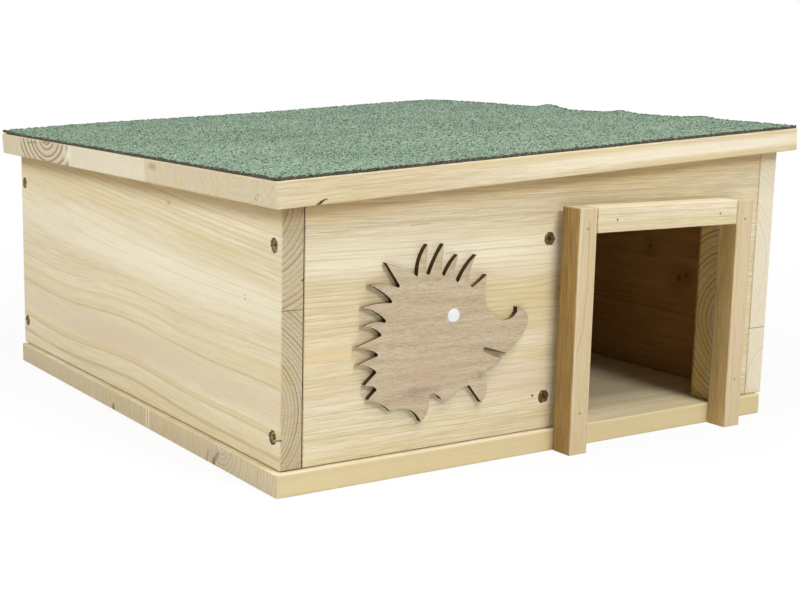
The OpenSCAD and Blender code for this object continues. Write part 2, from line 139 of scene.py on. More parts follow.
class Tree:
    """A node tree that is built by expressions."""

    def __init__(self, tree):
        self.tree = tree

    def node(self, kind, settings=None, inputs=None, out=0):
        made = self.tree.nodes.new(kind)
        for name, value in (settings or {}).items():
            if name == "stops":
                ramp = made.color_ramp
                for spare in list(ramp.elements)[1:]:
                    ramp.elements.remove(spare)
                ramp.elements[0].position = value[0][0]
                for place, _ in value[1:]:
                    ramp.elements.new(place)
                for element, (_, level) in zip(ramp.elements, value):
                    element.color = (*level, 1) if isinstance(level, tuple) else (level,) * 3 + (1,)
            else:
                setattr(made, name, value)
        for key, value in (inputs or {}).items():
            for item in value if isinstance(value, list) else [value]:
                if isinstance(item, Wire):
                    self.tree.links.new(item.socket, made.inputs[key])
                else:
                    made.inputs[key].default_value = item
        return Wire(self, made.outputs[out]) if made.outputs else None

    def vector(self, x, y, z):
        return self.node("ShaderNodeCombineXYZ", None, {0: x, 1: y, 2: z})

    def combine(self, operation, a, b, out=0):
        return self.node("ShaderNodeVectorMath", {"operation": operation}, {0: a, 1: b}, out)

    def length(self, vector):
        return self.node("ShaderNodeVectorMath", {"operation": "LENGTH"}, {0: vector}, 1)

    def noise(self, place, seed, detail=2.0, roughness=0.5):
        inputs = {"Vector": place, "W": seed, "Scale": 1, "Detail": detail, "Roughness": roughness}
        return self.node("ShaderNodeTexNoise", {"noise_dimensions": "4D"}, inputs)

    def blend(self, share, a, b, kind="MIX"):
        settings = {"data_type": "RGBA", "blend_type": kind, "clamp_factor": True}
        return self.node("ShaderNodeMix", settings, {0: share, 6: a, 7: b}, 2)


def shade(red, green, blue):
    """A colour as it shows on a screen, 0 to 255, as the linear one that nodes take."""
    def linear(level):
        level /= 255
        return level / 12.92 if level <= 0.04045 else ((level + 0.055) / 1.055) ** 2.4
    return (*(linear(c) for c in (red, green, blue)), 1)


class Finish(Tree):
    """A material whose patterns lie at the surface's place in millimetres."""

    def __init__(self, name, corner=BASE_CORNER, turn=(0, 0, 0)):
        self.material = bpy.data.materials.new(name)
        self.material.use_nodes = True
        super().__init__(self.material.node_tree)
        self.tree.nodes.clear()
        coordinates = self.node("ShaderNodeTexCoord", out="Object")
        self.place = self.node(
            "ShaderNodeMapping",
            {"vector_type": "TEXTURE"},
            {"Vector": coordinates, "Location": corner, "Rotation": turn, "Scale": (MM,) * 3},
        )
        first = self.node("ShaderNodeSeparateXYZ", None, {0: self.place})
        self.axes = [first, first.other("Y"), first.other("Z")]
        untilted = self.node(
            "ShaderNodeMapping",
            {"vector_type": "TEXTURE"},
            {"Vector": coordinates.other("Normal"), "Rotation": turn},
        )
        sides = self.node("ShaderNodeSeparateXYZ", None, {0: untilted})
        self.sides = [sides, sides.other("Y"), sides.other("Z")]

    def spot(self, centre, radius, soft=0.4, squash=(1, 1, 1)):
        """1 inside a ball about centre; squash divides the distance along each axis."""
        apart = self.combine("SUBTRACT", self.place, centre)
        return self.length(self.combine("DIVIDE", apart, squash)).below(radius, soft)

    def stroke(self, start, end, radius, soft=0.3):
        """1 near the straight line from start to end."""
        along = Vector(end) - Vector(start)
        apart = self.combine("SUBTRACT", self.place, start)
        share = self.combine("DOT_PRODUCT", apart, along / along.length_squared, 1).held()
        scale = {"operation": "SCALE"}
        nearest = self.node("ShaderNodeVectorMath", scale, {0: along, "Scale": share})
        return self.combine("DISTANCE", apart, nearest, 1).below(radius, soft)

    def finer(self, factor):
        """The place times a factor, for a pattern of another fineness."""
        return self.combine("MULTIPLY", self.place, (factor,) * 3)

    def mark(self, mask, colour, share=1.0, kind="MIX"):
        self.colour = self.blend(mask * share, self.colour, colour, kind)

    def within(self, low, high, soft=1.0):
        """1 between the corners low and high of a box."""
        mask = 1
        for axis, start, end in zip(self.axes, low, high):
            for part in (axis.above(start, soft), axis.below(end, soft)):
                mask = part * mask
        return mask

    def close(self, base, rough, bump=None, depth=0.2, **constants):
        inputs = {"Base Color": base, "Roughness": rough}
        inputs.update({name.replace("_", " "): value for name, value in constants.items()})
        if bump is not None:
            inputs["Normal"] = self.node(
                "ShaderNodeBump", None, {"Strength": 1.0, "Distance": depth * MM, "Height": bump}
            )
        surface = self.node("ShaderNodeBsdfPrincipled", None, inputs)
        self.node("ShaderNodeOutputMaterial", None, {"Surface": surface})
        return self.material


def dress(mesh, material):
    mesh.materials.clear()
    mesh.materials.append(material)


def put(material, *names):
    """CAD nodes get a finish in place of their plain one."""
    for name in names:
        dress(nodes[name].data, material)


def new_object(name, data):
    made = bpy.data.objects.new(name, data)
    bpy.context.scene.collection.objects.link(made)
    return made


# ------------------------------------------------------------------ pine

PALE = shade(233, 222, 193)
HONEY = shade(214, 196, 150)
AMBER = shade(216, 188, 134)
ROSE = shade(215, 197, 170)
LATE = shade(176, 152, 104)
END_PALE = shade(210, 197, 168)
END_LATE = shade(116, 94, 64)
FIBRE = shade(176, 154, 112)
BRIGHT = shade(242, 234, 210)
BURR = shade(58, 40, 18)
KNOT = shade(122, 92, 58)
# Painted shade under the roof's overhang.
ROOF_OVERHANG_SHADE = shade(226, 208, 176)
# Painted shade inside the station, and the box where it lies.
INNER = shade(196, 158, 108)
INSIDE_LOW, INSIDE_HIGH = (19, 21, 5), (418, 435, 230)
YEAR = [(0, 0.0), (0.35, 0.04), (0.62, 0.22), (0.84, 0.85), (0.93, 1.0), (0.985, 0.25), (1, 0.0)]

# How far along and across the fibres flow round a knot, in its radii.
KNOT_REACH = (5, 2.6)
# Where, in mm below the roof, the painted overhang shade and the dark joint line fade, and how
# softly.
OVERHANG_SHADE_EDGE, OVERHANG_SHADE_SOFT = -9, 9
JOINT_EDGE, JOINT_SOFT = -1.1, 0.7
RIM_RADIUS = 4.7


class Stave:
    """A strip of a glued board: where it ends across the board, its log's heart across and
    through the board, the width of a year's ring, all in mm, its tone, how clearly the
    rings show on its end, and how much wider than deep the rings are."""

    def __init__(self, end, heart, ring=4.0, tone=0.5, clear=0.6, flat=1.0):
        self.end, self.heart, self.ring, self.tone = end, heart, ring, tone
        self.clear, self.flat = clear, flat


class Pine(Finish):
    """Sawn pine. grain, across and through are the axes that run along the fibres, across
    the staves and through the board's thickness. The rings are those of each stave's log,
    so that lines on the faces run into arcs on the ends. bend says how far the fibres at a
    place along and across the board have moved across it; knots are places (along, across)
    that the fibres flow round, with the knot's radius. late, fibre and zones say how much
    the rings, the fibres and the broad changes of tone show on the faces."""

    def __init__(self, name, grain, across, through, staves, seed, swing=5.0, late=0.4,
                 fibre=0.4, zones=0.8, bend=None, knots=(), **frame_of):
        super().__init__(name, **frame_of)
        self.g, self.w, self.d = (self.axes[i] for i in (grain, across, through))
        self.seed = seed
        sway = self.noise(self.vector(self.g / 190, self.w / 42, self.d / 42), seed, 1.5)
        sway = self.node("ShaderNodeSeparateColor", None, {0: sway.other("Color")})

        def by_stave(pick):
            """The picked value of the stave that the surface point lies in."""
            total = pick(staves[0])
            for last, stave in zip(staves, staves[1:]):
                step = pick(stave) - pick(last)
                if step:
                    total = self.w.above(last.end) * step + total
            return total

        flow = self.w + (sway - 0.5) * swing
        if bend:
            flow = flow - bend(self.g, self.w)
        for along, at, size in knots:
            off_g = (self.g - along) / (size * KNOT_REACH[0])
            off_w = (self.w - at) / (size * KNOT_REACH[1])
            near = (-(off_g * off_g + off_w * off_w)).do("EXPONENT")
            flow = flow - (self.w - at) * near * 0.8
        self.flow = flow
        off_w = (flow - by_stave(lambda s: s.heart[0])) / by_stave(lambda s: s.flat)
        off_d = self.d + (sway.other("Green") - 0.5) * swing - by_stave(lambda s: s.heart[1])
        radius = (off_w * off_w + off_d * off_d) ** 0.5
        uneven = self.noise(self.vector(radius / 11, seed, 0), seed, 1)
        count = radius / by_stave(lambda s: s.ring) + uneven * 1.6
        strong = self.node(
            "ShaderNodeTexWhiteNoise", {"noise_dimensions": "1D"}, {"W": count.do("FLOOR") + seed}
        )
        ring = self.node("ShaderNodeValToRGB", {"stops": YEAR}, {0: count.do("FRACT")})
        self.ring = ring * (0.25 + strong * 0.75)
        self.zone = self.noise(self.vector(self.g / 240, flow / 15, self.d / 30), seed + 3, 2.5)
        rosy = self.noise(self.vector(self.g / 130, flow / 24, self.d / 30), seed + 4, 2)
        streak = self.noise(self.vector(self.g / 70, flow / 2.2, self.d / 3), seed + 7, 2)
        hair = self.noise(self.vector(self.g / 26, flow / 0.6, self.d / 0.6), seed + 5, 2.5, 0.65)
        pores = self.noise(self.vector(self.g / 3, self.w / 0.45, self.d / 0.45), seed + 8, 1)
        self.hair = hair
        warm = (self.zone.above(0.5, 0.16) - 0.5) * zones + by_stave(lambda s: s.tone)
        face = self.blend(warm, PALE, HONEY)
        face = self.blend(rosy.above(0.56, 0.12) * zones * 0.6, face, ROSE)
        face = self.blend(self.ring * late, face, LATE)
        face = self.blend(streak.above(0.57, 0.14) * fibre * 0.6, face, HONEY)
        face = self.blend(hair.above(0.57, 0.16) * fibre, face, FIBRE)
        face = self.blend(hair.below(0.42, 0.1) * fibre * 0.5, face, BRIGHT)
        face = self.blend(pores.above(0.7, 0.06) * fibre * 0.9, face, LATE)
        grains = self.noise(self.vector(self.g, self.w / 0.6, self.d / 0.6), seed + 6, 1)
        saw = self.noise(self.vector(self.g, self.w / 1.1, self.d / 14), seed + 9, 1.5)
        end = self.blend(warm, END_PALE, HONEY)
        end = self.blend(rosy.above(0.5, 0.15) * 0.4, end, ROSE)
        end = self.blend(self.ring * by_stave(lambda s: s.clear), end, END_LATE)
        end = self.blend(saw.above(0.55, 0.12) * 0.12, end, END_LATE)
        end = self.blend(grains.above(0.56, 0.14) * 0.24, end, END_LATE)
        self.on_end = abs(self.sides[grain]).above(0.75, 0.15)
        self.on_face = 1 - self.on_end
        self.colour = self.blend(self.on_end, face, end)
        self.height = hair * 0.5 - self.ring * 0.35
        # A knot runs through the board, so its centre lies at each surface point's own depth.
        for along, at, size in knots:
            centre = [*self.axes]
            centre[grain], centre[across] = along, at
            centre = self.vector(*centre)
            self.mark(self.spot(centre, size * 1.9, size, (1.5, 1.5, 1.5)), LATE, 0.5)
            self.mark(self.spot(centre, size * 0.6, size * 0.4), BURR, 0.6)

    def roof_line(self):
        """The dark joint line under the sloping roof board, and painted shade of the roof's
        overhang below it.
        """
        slope = math.tan(ROOF_SLOPE)
        over = self.axes[2] - (self.axes[0] * slope + (LOW_WALL_TOP - WALL_LEFT * slope))
        wall = self.sides[2].below(0.5, 0.2)
        # Painted shade where the roof's overhang throws its shadow on the wall.
        overhang_shade = over.above(OVERHANG_SHADE_EDGE, OVERHANG_SHADE_SOFT) * wall
        self.mark(overhang_shade, ROOF_OVERHANG_SHADE, 0.8, "MULTIPLY")
        self.mark(over.above(JOINT_EDGE, JOINT_SOFT) * wall, BURR, 0.6)

    def vein(self, level, half, colour, share, soft=0.8, gaps=0.36):
        """A line along the fibres at a level across the board, fading in and out."""
        fade = self.noise(self.vector(self.g / 90, level, self.seed), 2.0, 1).above(gaps, 0.12)
        self.mark(abs(self.flow - level).below(half, soft) * fade * self.on_face, colour, share)

    def patch(self, centre, reach, colour, share):
        """A soft area of another tone, longer along the fibres, with streaky borders."""
        fray = self.zone * 0.9 + self.hair * 0.3 - 0.6
        inner = self.spot(centre, 1, 0.55, reach) * self.on_face
        self.mark((inner + fray * inner).held(), colour, share)

    def seam(self, axis, level, half, share):
        """The dark joint line where another board meets this one."""
        self.mark(abs(self.axes[axis] - level).below(half, 0.2), BURR, share)

    def paint_inside_shade(self, share, low=INSIDE_LOW, high=INSIDE_HIGH, soft=1.0):
        """Painted shade: wood inside the station is made darker and browner, as in dim light."""
        self.mark(self.within(low, high, soft), INNER, share, "MULTIPLY")

    def screw_rim(self, centres, axis):
        """The torn, dark countersink round each screw, along one axis; the dark is partly painted
        shade.
        """
        flat = tuple(0 if i == axis else 1 for i in range(3))
        torn = self.noise(self.finer(0.7), self.seed, 2)
        for centre in centres:
            apart = self.combine("SUBTRACT", self.place, centre)
            away = self.length(self.combine("MULTIPLY", apart, flat)) + (torn - 0.5) * 3.2
            self.mark(away.below(RIM_RADIUS + 0.9, 0.5), BRIGHT, 0.4)
            # Dark brown: torn wood and painted shade in the countersink.
            self.mark(away.below(RIM_RADIUS, 0.45), BURR, 0.92)

    def done(self):
        rough = 0.5 + self.hair * 0.16
        return self.close(self.colour, rough, self.height, 0.22, Specular_IOR_Level=0.13)


# ------------------------------------------------------------------ the boards

base = Pine(
    "pine_base_board", 0, 1, 2,
    [
        Stave(95, (72, 18), 3.6, 0.35, 0.45),
        Stave(155, (245, -20), 4.2, 0.45, 0.35),
        Stave(185, (250, -40), 4.0, 0.6, 0.3),
        Stave(285, (247, 3), 3.8, 0.45, 0.35),
        Stave(335, (420, 60), 5.0, 0.3, 0.15),
        Stave(400, (520, -30), 4.0, 0.5, 0.2),
        Stave(450, (425, -2), 3.4, 0.5, 0.3),
    ],
    seed=11, fibre=0.3, late=0.3,
)
for start, end, radius, soft, share in (
    ((0, 83, -1), (0, 83, 3), 1.6, 1.2, 0.8),
    ((0, 83, 3), (0, 77, 9), 1.6, 1.6, 0.6),
    ((0, 93, 0), (0, 91, 8), 0.9, 1.2, 0.55),
):
    base.mark(base.stroke(start, end, radius, soft), KNOT, share)
base.mark(base.spot((0, 247, 2), 2.2, 1.2, (1, 1, 1.6)), END_LATE, 0.9)
for across, radius, share in ((184, 0.7, 0.8), (188, 0.6, 0.7)):
    base.mark(base.stroke((0, across, 0), (0, across, 15), radius), BRIGHT, share)
rounding = base.axes[2].above(10.4, 0.8) * base.axes[2].below(13.6, 0.5)
base.mark(rounding * base.axes[1].below(1.5, 0.5), LATE, 0.35)
base.mark(base.sides[1].below(-0.7, 0.2), HONEY, 0.75)
base.patch((330, 0, 7), (120, 4, 9), HONEY, 0.5)
# Painted shade on the floor towards the back, inside the station.
base.paint_inside_shade(0.1, (19, 200, 5), INSIDE_HIGH)
put(base.done(), "base_board")


def left_bend(along, across):
    """Low on the left panel the fibres wave; higher up they fan out towards the front."""
    start, length, height = 159, 260, 2.3
    far = along.above(120, 100)
    wave = ((along - start) * (math.tau / length)).sin() * height * far + (far - 1) * 3
    return wave * across.below(104, 20) + along * across.above(124, 30) * 0.07


left = Pine(
    "pine_left_panel", 1, 2, 0,
    [Stave(114.5, (54, -29), 2.3, 0.42, 0.9), Stave(400, (180, -18), 3.4, 0.36, 0.7)],
    seed=23, swing=2.5, late=0.1, fibre=0.28, zones=0.5, bend=left_bend,
)
left.patch((WALL_LEFT, 230, 56), (9, 260, 11), ROSE, 0.6)
left.patch((WALL_LEFT, 330, 128), (9, 190, 15), BRIGHT, 0.4)
left.patch((WALL_LEFT, 120, 116), (9, 190, 12), BRIGHT, 0.5)
for level, half, colour, share in (
    (26, 1.4, LATE, 0.45), (39, 0.6, LATE, 0.65), (41, 2.2, HONEY, 0.8), (69.8, 0.3, LATE, 0.75),
    (81.3, 1.4, HONEY, 0.8), (91.5, 0.3, LATE, 0.55), (101, 0.3, LATE, 0.2),
    (108, 0.4, LATE, 0.18), (114, 0.3, LATE, 0.25), (120, 0.3, LATE, 0.2),
    (126, 0.3, LATE, 0.3), (131.5, 0.3, LATE, 0.3), (135.5, 0.3, LATE, 0.35),
    (139, 1.4, HONEY, 0.9), (143, 0.3, LATE, 0.4), (147, 0.4, LATE, 0.4),
    (150, 1.0, HONEY, 0.9), (154, 0.4, LATE, 0.45), (159, 0.5, LATE, 0.4),
):
    left.vein(level, half, colour, share * 0.9)
left.mark(left.spot((WALL_LEFT, 49.4, 115), 0.7), BURR, 0.55)
left.mark(left.spot((WALL_LEFT, 49.8, 117.4), 0.6), BURR, 0.45)
left.mark(left.spot((WALL_LEFT, 159, 164), 1.6, 1.2, (1, 1.8, 0.8)), LATE, 0.6)
left.mark(left.spot((19.1, WALL_FRONT, 132.3), 0.8), BURR, 0.8)
left.mark(left.stroke((WALL_LEFT, 9, 34), (5.2, WALL_FRONT, 35), 0.7), BURR, 0.8)
glue_line = left.stroke((WALL_LEFT, WALL_FRONT, 114.5), (20, WALL_FRONT, 114.5), 0.35)
left.mark(glue_line, BURR, 0.6)
left.mark(left.on_end, END_LATE, 0.12)
left.seam(0, LEFT_INNER, 0.5, 0.6)
left.seam(2, FLOOR_TOP, 0.6, 0.7)

right = Pine(
    "pine_right_panel", 1, 2, 0,
    [
        Stave(67, (28, 442), 4.2, 0.35, 0.75),
        Stave(84, (118, 380), 2.8, 0.9, 0.9),
        Stave(400, (118, 380), 4.4, 0.2, 0.6),
    ],
    seed=37, late=0.5, fibre=0.6, knots=[(115, 117, 3), (81, 95, 4.5), (73, 98, 2.5)],
)
right.mark(right.on_end, BRIGHT, 0.6)
right.mark(right.stroke((415, WALL_FRONT, 67), (433, WALL_FRONT, 67), 0.35), END_LATE, 0.7)
right.mark(right.stroke((RIGHT_INNER, 8, 67), (RIGHT_INNER, 440, 67), 0.5), BURR, 0.4)

front = Pine(
    "pine_front_panel", 0, 2, 1, [Stave(400, (78, -18), 4.2, 0.4, 1.0)], seed=41, swing=6.0,
    late=0.35, fibre=0.5, zones=0.6, knots=[(222, 113, 3)],
)
for along, up, half_long, half_high, colour, share in (
    (80, 144, 95, 12, BRIGHT, 0.5), (190, 138, 50, 13, BRIGHT, 0.4), (38, 84, 26, 5, AMBER, 0.6),
    (35, 114, 26, 3, HONEY, 0.5), (190, 116, 45, 7, HONEY, 0.6), (190, 98, 40, 12, HONEY, 0.6),
    (180, 52, 55, 12, ROSE, 0.5),
):
    front.patch((along, WALL_FRONT, up), (half_long, 9, half_high), colour, share)
for level, half, share in (
    (24, 0.3, 0.3), (31, 0.8, 0.2), (47, 0.4, 0.4), (58, 0.3, 0.35), (64, 0.3, 0.25),
    (72, 0.3, 0.3), (92, 0.3, 0.3), (101, 0.4, 0.45), (107, 0.3, 0.5), (111, 0.3, 0.45),
    (115, 0.3, 0.6), (118.5, 0.4, 0.45), (122, 0.3, 0.55), (126, 0.3, 0.3), (130.5, 0.3, 0.45),
    (134, 0.3, 0.4), (137.5, 0.3, 0.3), (143, 0.4, 0.5), (148, 0.3, 0.45), (152, 0.3, 0.35),
    (157, 0.4, 0.3), (165, 0.3, 0.35), (170, 0.4, 0.3), (176, 0.3, 0.35), (182, 0.4, 0.3),
    (188, 0.3, 0.3),
):
    front.vein(level, half, FIBRE, share, 0.5, 0.42)
for (x1, z1), (x2, z2), radius, soft, colour in (
    ((96, 161.5), (112, 162.2), 0.3, 0.4, LATE),
    ((30, 160), (52, 160.8), 0.2, 0.4, LATE),
    ((128, 168), (150, 169), 0.2, 0.4, LATE),
    ((158, 77), (176, 72.5), 0.7, 0.6, BURR),
):
    line = front.stroke((x1, WALL_FRONT, z1), (x2, WALL_FRONT, z2), radius, soft)
    front.mark(line, colour, 0.7)
front.mark(front.spot((201.6, WALL_FRONT, 39.7), 0.9, 0.3), BURR, 0.95)
front.seam(0, LEFT_INNER, 0.5, 0.75)
front.seam(2, FLOOR_TOP, 0.5, 0.5)
front.seam(0, RIGHT_INNER, 0.4, 0.35)
for board in (left, right, front):
    board.roof_line()

back = Pine("pine_back_panel", 0, 2, 1, [Stave(400, (60, 480), 3.8, 0.45)], seed=53, swing=8.0)
divider = Pine("pine_divider", 1, 2, 0, [Stave(400, (90, 180), 4.5, 0.5)], seed=67)

# The roof's stave with its log's heart in it, whose rings show as arcs on the left end.
HEART_START, HEART_END = 317, 421
roof = Pine(
    "pine_roof_board", 0, 1, 2,
    [
        Stave(176, (40, 60), 4.6, 0.55, 0.15),
        Stave(316, (250, -60), 6.5, 0.05, 0.08),
        Stave(HEART_END, (361, 20), 4.6, 0.35, 0.95, 1.9),
        Stave(600, (520, 70), 5.0, 0.5, 0.15),
    ],
    seed=71, late=0.3, fibre=0.5, corner=ROOF_CORNER, turn=ROOF_TURN,
)
LEFT_END = -ROOF_SIDE_OVERHANG
SPLIT = ((17.8, 0.4), (20.3, 2.0), (22.3, 3.1), (24.3, 3.5))
for (x1, z1), (x2, z2), wide in zip(SPLIT, SPLIT[1:], (0.95, 0.6, 0.4)):
    roof.mark(roof.stroke((x1, ROOF_FRONT, z1), (x2, ROOF_FRONT, z2), wide), BURR, 0.9)
for spot, size in (((16, 7), 0.9), ((19, 4.5), 0.7), ((17.5, 3.8), 0.6), ((80, 1.5), 0.5)):
    roof.mark(roof.spot((LEFT_END, *spot), size), BURR, 0.6)
for start, end, share in ((-20, 176, 0.15), (176, 316, 0.5), (316, 500, 0.2)):
    stave = roof.axes[1].above(start) * roof.axes[1].below(end)
    roof.mark(roof.on_end * stave, BRIGHT, share)
heart_stave = roof.axes[1].above(HEART_START) * roof.axes[1].below(HEART_END)
roof.mark(roof.on_end * roof.ring * heart_stave, KNOT, 0.85)
roof.mark(roof.spot((LEFT_END, 163, 12.5), 6, 5, (1, 1, 0.35)), KNOT, 0.45)
roof.mark(roof.stroke((LEFT_END, 404, 13), (LEFT_END, 384, 14.5), 0.8, 1), KNOT, 0.5)
roof.mark(roof.stroke((LEFT_END, 354, 16.4), (LEFT_END, 370, 16.4), 1, 1), KNOT, 0.7)
roof.mark(roof.spot((LEFT_END, 318, 9), 7, 6, (1, 1, 0.6)), BRIGHT, 0.6)
roof.mark(roof.spot((LEFT_END, 447, 9), 10, 8, (1, 1, 1)), ROSE, 0.6)
roof.patch((200, ROOF_FRONT, 14), (90, 4, 2.5), HONEY, 0.8)
roof.patch((330, ROOF_FRONT, 9), (150, 4, 4), BRIGHT, 0.7)
roof.patch((330, ROOF_FRONT, 2), (70, 4, 3), HONEY, 0.7)
# Painted shade on the roof's underside over the inside of the station.
roof.paint_inside_shade(0.35, (20, 26, -20), (407, 430, 12), 5)

POST_FRONT = -17.3
POST_ROSE = shade(198, 174, 136)
# Painted shade for the posts' sides that face away from the light.
SHADED = shade(208, 186, 142)
SHADED_RIGHT = shade(255, 240, 200)
post_left = Pine(
    "pine_left_post", 2, 0, 1, [Stave(800, (226, 40), 2.2, 0.55)],
    seed=83, swing=2.0, late=0.55, fibre=0.6,
)
post_right = Pine(
    "pine_right_post", 2, 0, 1, [Stave(800, (398, 60), 3.0, 0.3)], seed=91, swing=3.0, fibre=0.5
)
post_left.mark(post_left.on_face, POST_ROSE, 0.45)
post_right.mark(post_right.on_face, POST_ROSE, 0.6)
# Painted shade on the posts' left sides, on the right post only below the lintel, with dark fibres.
for post, top, shaded in ((post_left, 200, SHADED), (post_right, 151, SHADED_RIGHT)):
    side = post.sides[0].below(-0.6, 0.2) * post.axes[2].below(top, 1)
    post.mark(side, shaded, 1.0, "MULTIPLY")
    post.mark(side * post.hair.above(0.52, 0.12), BURR, 0.3)
DARK_VEIN = ((227, 160), (227.5, 120), (225, 85), (221, 72))
for (x1, z1), (x2, z2) in zip(DARK_VEIN, DARK_VEIN[1:]):
    line = post_left.stroke((x1, POST_FRONT, z1), (x2, POST_FRONT, z2), 0.5, 0.5)
    post_left.mark(line, LATE, 0.6)
lintel = Pine(
    "pine_lintel", 0, 2, 1, [Stave(800, (120, -60), 3.2, 0.35)], seed=97, swing=3.0
)


# ------------------------------------------------------------------ where the fasteners are

def heads(name, out):
    """The middle of each fastener's head in a CAD node, in metres; out points off the wood."""
    merged = bmesh.new()
    merged.from_mesh(nodes[name].data)
    bmesh.ops.remove_doubles(merged, verts=merged.verts, dist=1e-6)
    merged.verts.ensure_lookup_table()
    out = Vector(out).normalized()
    side = out.orthogonal().normalized()
    turned = Matrix((side, out.cross(side), out))
    seen, found = set(), []
    for first in merged.verts:
        if first in seen:
            continue
        part, queue = [], [first]
        seen.add(first)
        while queue:
            vert = queue.pop()
            part.append(turned @ vert.co)
            for edge in vert.link_edges:
                near = edge.other_vert(vert)
                if near not in seen:
                    seen.add(near)
                    queue.append(near)
        low = [min(p[i] for p in part) for i in range(3)]
        high = [max(p[i] for p in part) for i in range(3)]
        middle = Vector(((low[0] + high[0]) / 2, (low[1] + high[1]) / 2, high[2]))
        found.append(turned.transposed() @ middle)
    merged.free()
    return found


def in_mm(points):
    return [(p - BASE_CORNER) / MM for p in points]


ROOF_DOWN = ROOF_FRAME.to_3x3() @ Vector((0, 0, -1))
SCREWS = {
    "left_panel_screws": (-1, 0, 0),
    "right_panel_screws": (1, 0, 0),
    "divider_screws": (0, -1, 0),
    "base_screws": (0, 0, -1),
    "hinge_box_screws": (0, 1, 0),
    "hinge_roof_screws": ROOF_DOWN,
}
screw_heads = {name: heads(name, out) for name, out in SCREWS.items()}

left.screw_rim(in_mm(screw_heads["left_panel_screws"]), 0)
right.screw_rim(in_mm(screw_heads["right_panel_screws"]), 0)
front.screw_rim(in_mm(screw_heads["divider_screws"]), 1)
brad_places = in_mm(heads("entrance_brads", (0, -1, 0)))
# A brad lies in the left post, in the lintel or in the right post.
LINTEL_LEFT, LINTEL_RIGHT = 235, 368
for place in brad_places:
    for board, low, high in (
        (post_left, 0, LINTEL_LEFT),
        (lintel, LINTEL_LEFT, LINTEL_RIGHT),
        (post_right, LINTEL_RIGHT, BASE_W),
    ):
        if low < place.x < high:
            board.mark(board.spot(place, 1.1, 0.4, (0.9, 3, 1)), LATE, 0.5)
# Painted shade on the walls inside the station.
for board, share in ((left, 0.7), (right, 1.0), (front, 0.7), (back, 0.7), (divider, 0.7)):
    board.paint_inside_shade(share)
# Painted warm shade: the sawn edges of the hole in the front panel, inside the doorway, are
# yellower.
JAMB = shade(255, 240, 196)
JAMB_LOW, JAMB_HIGH = (226, 6, 15), (380, 23, 156)
jamb = front.within(JAMB_LOW, JAMB_HIGH) * abs(front.sides[1]).below(0.5)
front.mark(jamb, JAMB, 1.0, "MULTIPLY")
for board, name in (
    (roof, "roof_board"),
    (left, "left_side_panel"),
    (right, "right_side_panel"),
    (front, "front_panel"),
    (back, "back_panel"),
    (divider, "divider_wall"),
    (post_left, "entrance_post_left"),
    (post_right, "entrance_post_right"),
    (lintel, "entrance_lintel"),
):
    put(board.done(), name)


# ------------------------------------------------------------------ plywood and paint

PLY = shade(188, 170, 140)
PLY_DARK = shade(146, 126, 98)
PLY_PALE = shade(206, 191, 164)
PLY_ROSE = shade(194, 166, 142)
SMOKE = shade(150, 130, 116)
# Cut walls: a burnt rim and painted shade in dark brown, painted light from above in pale brown.
CORE = shade(74, 52, 24)
PAINTED_LIT_CORE = shade(176, 156, 120)

ply = Finish("plywood_hedgehog")
px, py, pz = ply.axes
ply_zone = ply.noise(ply.vector(px / 60, 0, pz / 5), 3.1, 2)
ply_line = ply.noise(ply.vector(px / 6, 0, pz / 0.45), 5.2, 2.5, 0.6)
pore = ply.noise(ply.vector(px / 1.6, 0, pz / 0.4), 8.8, 1)
ply.colour = ply.blend(ply_zone.above(0.52, 0.2), PLY, PLY_PALE)
ply.mark(ply_line.above(0.56, 0.14), PLY_DARK, 0.5)
ply.mark(ply_line.below(0.4, 0.1), PLY_PALE, 0.35)
ply.mark(pore.above(0.62, 0.06), PLY_DARK, 0.55)
ply.mark(ply.stroke((96, 0.4, 119.5), (150, 0.4, 117.5), 0.5, 0.5), PLY_PALE, 0.6)
ply.mark(ply.spot((112, 0, 66), 1, 0.8, (26, 40, 9)), PLY_ROSE, 0.35)
for place, reach in (((103, 0, 55), (16, 40, 3.2)), ((152, 0, 60), (5, 40, 3))):
    ply.mark(ply.spot(place, 1, 0.8, reach) * ply_line.above(0.4, 0.3), SMOKE, 0.7)
# Painted light and shade on the cut walls: walls facing up are pale past a dark rim at the face,
# and the others dark brown, partly burnt and partly painted shade.
painted_lit_walls = ply.sides[2].above(0.88, 0.1)
core = ply.blend(painted_lit_walls * py.above(2.0, 0.5), CORE, PAINTED_LIT_CORE)
ply.mark(abs(ply.sides[1]).below(0.6, 0.2), core)
put(ply.close(ply.colour, 0.62, ply_line, 0.12, Specular_IOR_Level=0.1), "hedgehog_cutout")

paint = Finish("eye_paint")
ripple = paint.noise(paint.vector(paint.axes[0] / 1.5, 0, paint.axes[2] / 1.5), 2.0, 2)
paint_colour = paint.blend(ripple, shade(218, 222, 224), shade(234, 235, 232))
eye_finish = paint.close(paint_colour, 0.42, ripple, 0.1, Specular_IOR_Level=0.4)


# ------------------------------------------------------------------ metal

def metal(name, colour, dull, rough, worn):
    """Plated metal with fine wear; worn is the share of the dull colour."""
    coat = Finish(name)
    cloud = coat.noise(coat.finer(0.5), 1.0, 3)
    grit = coat.noise(coat.finer(4), 2.0, 2)
    tone = coat.blend(cloud.above(0.5, 0.2) * worn, colour, dull)
    return coat.close(tone, rough + grit * 0.2, grit, 0.03, Metallic=1.0)


steel = metal("zinc_plated_steel", shade(205, 206, 204), shade(150, 152, 150), 0.28, 0.5)
bronze = metal("bronze_screws", shade(190, 166, 112), shade(104, 82, 44), 0.34, 0.8)

